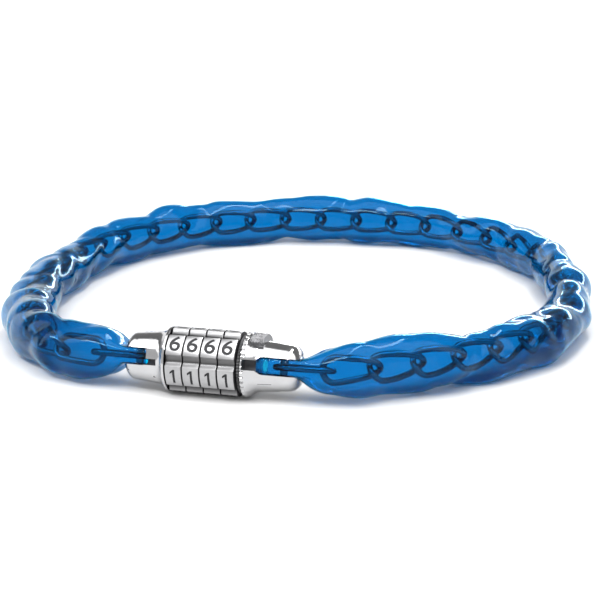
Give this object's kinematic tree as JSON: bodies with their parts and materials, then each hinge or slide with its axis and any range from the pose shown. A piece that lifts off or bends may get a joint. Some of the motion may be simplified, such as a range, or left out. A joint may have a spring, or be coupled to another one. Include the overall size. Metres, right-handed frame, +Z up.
{
  "type": "combination chain lock",
  "caption": "Small combination bicycle lock: a chromed barrel with numbered dials and a pull-out plug, on a twisted-link steel chain in a loose translucent vinyl sleeve.",
  "frame": {"origin": "on the surface the lock stands on, under the middle of the barrel", "axes": "+X along the barrel's axis to the plug that pulls out, +Y back into the chain's loop, +Z up"},
  "size_m": [0.2359, 0.2475, 0.024],
  "materials": {
    "chrome": "polished chrome plate",
    "satin_zinc": "satin-plated zinc casting, digits filled black",
    "black_oxide": "black oxide",
    "brass": "plain turned brass",
    "bright_steel": "bright zinc-plated steel",
    "chain_steel": "bright zinc-plated steel wire",
    "blue_vinyl": "glossy translucent soft vinyl film"
  },
  "bodies": {
    "lock_body": {"left_end_cap": "chrome", "barrel_core": "bright_steel", "core_screw": "bright_steel", "detent_strip": "bright_steel", "retaining_ring": "black_oxide", "left_anchor_pin": "bright_steel", "chain_link_01": "chain_steel", "vinyl_sleeve": "blue_vinyl"},
    "dial_1_wheel": {"dial_1": "satin_zinc", "code_ring_1": "brass"},
    "dial_2_wheel": {"dial_2": "satin_zinc", "code_ring_2": "brass"},
    "dial_3_wheel": {"dial_3": "satin_zinc", "code_ring_3": "brass"},
    "dial_4_wheel": {"dial_4": "satin_zinc", "code_ring_4": "brass"},
    "plug": {"right_end_cap": "chrome", "locking_bolt": "bright_steel", "right_anchor_pin": "bright_steel", "chain_link_39": "chain_steel"},
    "link_02": {"chain_link_02": "chain_steel"},
    "link_03": {"chain_link_03": "chain_steel"},
    "link_04": {"chain_link_04": "chain_steel"},
    "link_05": {"chain_link_05": "chain_steel"},
    "link_06": {"chain_link_06": "chain_steel"},
    "link_07": {"chain_link_07": "chain_steel"},
    "link_08": {"chain_link_08": "chain_steel"},
    "link_09": {"chain_link_09": "chain_steel"},
    "link_10": {"chain_link_10": "chain_steel"},
    "link_11": {"chain_link_11": "chain_steel"},
    "link_12": {"chain_link_12": "chain_steel"},
    "link_13": {"chain_link_13": "chain_steel"},
    "link_14": {"chain_link_14": "chain_steel"},
    "link_15": {"chain_link_15": "chain_steel"},
    "link_16": {"chain_link_16": "chain_steel"},
    "link_17": {"chain_link_17": "chain_steel"},
    "link_18": {"chain_link_18": "chain_steel"},
    "link_19": {"chain_link_19": "chain_steel"},
    "link_20": {"chain_link_20": "chain_steel"},
    "link_21": {"chain_link_21": "chain_steel"},
    "link_22": {"chain_link_22": "chain_steel"},
    "link_23": {"chain_link_23": "chain_steel"},
    "link_24": {"chain_link_24": "chain_steel"},
    "link_25": {"chain_link_25": "chain_steel"},
    "link_26": {"chain_link_26": "chain_steel"},
    "link_27": {"chain_link_27": "chain_steel"},
    "link_28": {"chain_link_28": "chain_steel"},
    "link_29": {"chain_link_29": "chain_steel"},
    "link_30": {"chain_link_30": "chain_steel"},
    "link_31": {"chain_link_31": "chain_steel"},
    "link_32": {"chain_link_32": "chain_steel"},
    "link_33": {"chain_link_33": "chain_steel"},
    "link_34": {"chain_link_34": "chain_steel"},
    "link_35": {"chain_link_35": "chain_steel"},
    "link_36": {"chain_link_36": "chain_steel"},
    "link_37": {"chain_link_37": "chain_steel"},
    "link_38": {"chain_link_38": "chain_steel"}
  },
  "joints": [
    {"name": "dial_1_turn", "type": "hinge", "parent": "lock_body", "child": "dial_1_wheel", "pos_m": [-0.0117, 0, 0.012], "axis": [1, 0, 0], "continuous": true},
    {"name": "dial_2_turn", "type": "hinge", "parent": "lock_body", "child": "dial_2_wheel", "pos_m": [-0.0051, 0, 0.012], "axis": [1, 0, 0], "continuous": true},
    {"name": "dial_3_turn", "type": "hinge", "parent": "lock_body", "child": "dial_3_wheel", "pos_m": [0.0015, 0, 0.012], "axis": [1, 0, 0], "continuous": true},
    {"name": "dial_4_turn", "type": "hinge", "parent": "lock_body", "child": "dial_4_wheel", "pos_m": [0.0081, 0, 0.012], "axis": [1, 0, 0], "continuous": true},
    {"name": "plug_slide", "type": "slide", "parent": "lock_body", "child": "plug", "axis": [1, 0, 0], "range_m": [0, 0.036], "deforming": ["vinyl_sleeve"]},
    {"name": "link_02_shift", "type": "slide", "parent": "lock_body", "child": "link_02", "axis": [1, 0, 0], "range_m": [0, 0.00034]},
    {"name": "link_03_shift", "type": "slide", "parent": "lock_body", "child": "link_03", "axis": [1, 0, 0], "range_m": [0, 0.00087]},
    {"name": "link_04_shift", "type": "slide", "parent": "lock_body", "child": "link_04", "axis": [1, 0, 0], "range_m": [0, 0.00184]},
    {"name": "link_05_shift", "type": "slide", "parent": "lock_body", "child": "link_05", "axis": [1, 0, 0], "range_m": [0, 0.00303]},
    {"name": "link_06_shift", "type": "slide", "parent": "lock_body", "child": "link_06", "axis": [1, 0, 0], "range_m": [0, 0.0043]},
    {"name": "link_07_shift", "type": "slide", "parent": "lock_body", "child": "link_07", "axis": [1, 0, 0], "range_m": [0, 0.00563]},
    {"name": "link_08_shift", "type": "slide", "parent": "lock_body", "child": "link_08", "axis": [1, 0, 0], "range_m": [0, 0.00697]},
    {"name": "link_09_shift", "type": "slide", "parent": "lock_body", "child": "link_09", "axis": [1, 0, 0], "range_m": [0, 0.00833]},
    {"name": "link_10_shift", "type": "slide", "parent": "lock_body", "child": "link_10", "axis": [1, 0, 0], "range_m": [0, 0.0097]},
    {"name": "link_11_shift", "type": "slide", "parent": "lock_body", "child": "link_11", "axis": [1, 0, 0], "range_m": [0, 0.01105]},
    {"name": "link_12_shift", "type": "slide", "parent": "lock_body", "child": "link_12", "axis": [1, 0, 0], "range_m": [0, 0.01237]},
    {"name": "link_13_shift", "type": "slide", "parent": "lock_body", "child": "link_13", "axis": [1, 0, 0], "range_m": [0, 0.0136]},
    {"name": "link_14_shift", "type": "slide", "parent": "lock_body", "child": "link_14", "axis": [1, 0, 0], "range_m": [0, 0.01471]},
    {"name": "link_15_shift", "type": "slide", "parent": "lock_body", "child": "link_15", "axis": [1, 0, 0], "range_m": [0, 0.01571]},
    {"name": "link_16_shift", "type": "slide", "parent": "lock_body", "child": "link_16", "axis": [1, 0, 0], "range_m": [0, 0.01655]},
    {"name": "link_17_shift", "type": "slide", "parent": "lock_body", "child": "link_17", "axis": [1, 0, 0], "range_m": [0, 0.0172]},
    {"name": "link_18_shift", "type": "slide", "parent": "lock_body", "child": "link_18", "axis": [1, 0, 0], "range_m": [0, 0.01766]},
    {"name": "link_19_shift", "type": "slide", "parent": "lock_body", "child": "link_19", "axis": [1, 0, 0], "range_m": [0, 0.01795]},
    {"name": "link_20_shift", "type": "slide", "parent": "lock_body", "child": "link_20", "axis": [1, 0, 0], "range_m": [0, 0.01807]},
    {"name": "link_21_shift", "type": "slide", "parent": "lock_body", "child": "link_21", "axis": [1, 0, 0], "range_m": [0, 0.01821]},
    {"name": "link_22_shift", "type": "slide", "parent": "lock_body", "child": "link_22", "axis": [1, 0, 0], "range_m": [0, 0.01851]},
    {"name": "link_23_shift", "type": "slide", "parent": "lock_body", "child": "link_23", "axis": [1, 0, 0], "range_m": [0, 0.01906]},
    {"name": "link_24_shift", "type": "slide", "parent": "lock_body", "child": "link_24", "axis": [1, 0, 0], "range_m": [0, 0.01982]},
    {"name": "link_25_shift", "type": "slide", "parent": "lock_body", "child": "link_25", "axis": [1, 0, 0], "range_m": [0, 0.02077]},
    {"name": "link_26_shift", "type": "slide", "parent": "lock_body", "child": "link_26", "axis": [1, 0, 0], "range_m": [0, 0.02187]},
    {"name": "link_27_shift", "type": "slide", "parent": "lock_body", "child": "link_27", "axis": [1, 0, 0], "range_m": [0, 0.02308]},
    {"name": "link_28_shift", "type": "slide", "parent": "lock_body", "child": "link_28", "axis": [1, 0, 0], "range_m": [0, 0.02437]},
    {"name": "link_29_shift", "type": "slide", "parent": "lock_body", "child": "link_29", "axis": [1, 0, 0], "range_m": [0, 0.0257]},
    {"name": "link_30_shift", "type": "slide", "parent": "lock_body", "child": "link_30", "axis": [1, 0, 0], "range_m": [0, 0.02706]},
    {"name": "link_31_shift", "type": "slide", "parent": "lock_body", "child": "link_31", "axis": [1, 0, 0], "range_m": [0, 0.02842]},
    {"name": "link_32_shift", "type": "slide", "parent": "lock_body", "child": "link_32", "axis": [1, 0, 0], "range_m": [0, 0.02977]},
    {"name": "link_33_shift", "type": "slide", "parent": "lock_body", "child": "link_33", "axis": [1, 0, 0], "range_m": [0, 0.03107]},
    {"name": "link_34_shift", "type": "slide", "parent": "lock_body", "child": "link_34", "axis": [1, 0, 0], "range_m": [0, 0.03227]},
    {"name": "link_35_shift", "type": "slide", "parent": "lock_body", "child": "link_35", "axis": [1, 0, 0], "range_m": [0, 0.03334]},
    {"name": "link_36_shift", "type": "slide", "parent": "lock_body", "child": "link_36", "axis": [1, 0, 0], "range_m": [0, 0.03429]},
    {"name": "link_37_shift", "type": "slide", "parent": "lock_body", "child": "link_37", "axis": [1, 0, 0], "range_m": [0, 0.03514]},
    {"name": "link_38_shift", "type": "slide", "parent": "lock_body", "child": "link_38", "axis": [1, 0, 0], "range_m": [0, 0.03574]}
  ],
  "couplings": [
    {"joint": "link_02_shift", "follows": "plug_slide", "ratio": 0.0068},
    {"joint": "link_03_shift", "follows": "plug_slide", "ratio": 0.0215},
    {"joint": "link_04_shift", "follows": "plug_slide", "ratio": 0.0484},
    {"joint": "link_05_shift", "follows": "plug_slide", "ratio": 0.0813},
    {"joint": "link_06_shift", "follows": "plug_slide", "ratio": 0.1168},
    {"joint": "link_07_shift", "follows": "plug_slide", "ratio": 0.1535},
    {"joint": "link_08_shift", "follows": "plug_slide", "ratio": 0.1909},
    {"joint": "link_09_shift", "follows": "plug_slide", "ratio": 0.2287},
    {"joint": "link_10_shift", "follows": "plug_slide", "ratio": 0.2666},
    {"joint": "link_11_shift", "follows": "plug_slide", "ratio": 0.3042},
    {"joint": "link_12_shift", "follows": "plug_slide", "ratio": 0.3409},
    {"joint": "link_13_shift", "follows": "plug_slide", "ratio": 0.3749},
    {"joint": "link_14_shift", "follows": "plug_slide", "ratio": 0.4057},
    {"joint": "link_15_shift", "follows": "plug_slide", "ratio": 0.4335},
    {"joint": "link_16_shift", "follows": "plug_slide", "ratio": 0.457},
    {"joint": "link_17_shift", "follows": "plug_slide", "ratio": 0.4751},
    {"joint": "link_18_shift", "follows": "plug_slide", "ratio": 0.4878},
    {"joint": "link_19_shift", "follows": "plug_slide", "ratio": 0.4957},
    {"joint": "link_20_shift", "follows": "plug_slide", "ratio": 0.4991},
    {"joint": "link_21_shift", "follows": "plug_slide", "ratio": 0.503},
    {"joint": "link_22_shift", "follows": "plug_slide", "ratio": 0.5114},
    {"joint": "link_23_shift", "follows": "plug_slide", "ratio": 0.5266},
    {"joint": "link_24_shift", "follows": "plug_slide", "ratio": 0.5478},
    {"joint": "link_25_shift", "follows": "plug_slide", "ratio": 0.5741},
    {"joint": "link_26_shift", "follows": "plug_slide", "ratio": 0.6046},
    {"joint": "link_27_shift", "follows": "plug_slide", "ratio": 0.6384},
    {"joint": "link_28_shift", "follows": "plug_slide", "ratio": 0.6742},
    {"joint": "link_29_shift", "follows": "plug_slide", "ratio": 0.7112},
    {"joint": "link_30_shift", "follows": "plug_slide", "ratio": 0.7488},
    {"joint": "link_31_shift", "follows": "plug_slide", "ratio": 0.7867},
    {"joint": "link_32_shift", "follows": "plug_slide", "ratio": 0.8242},
    {"joint": "link_33_shift", "follows": "plug_slide", "ratio": 0.8602},
    {"joint": "link_34_shift", "follows": "plug_slide", "ratio": 0.8935},
    {"joint": "link_35_shift", "follows": "plug_slide", "ratio": 0.9233},
    {"joint": "link_36_shift", "follows": "plug_slide", "ratio": 0.9496},
    {"joint": "link_37_shift", "follows": "plug_slide", "ratio": 0.9733},
    {"joint": "link_38_shift", "follows": "plug_slide", "ratio": 0.9901}
  ]
}
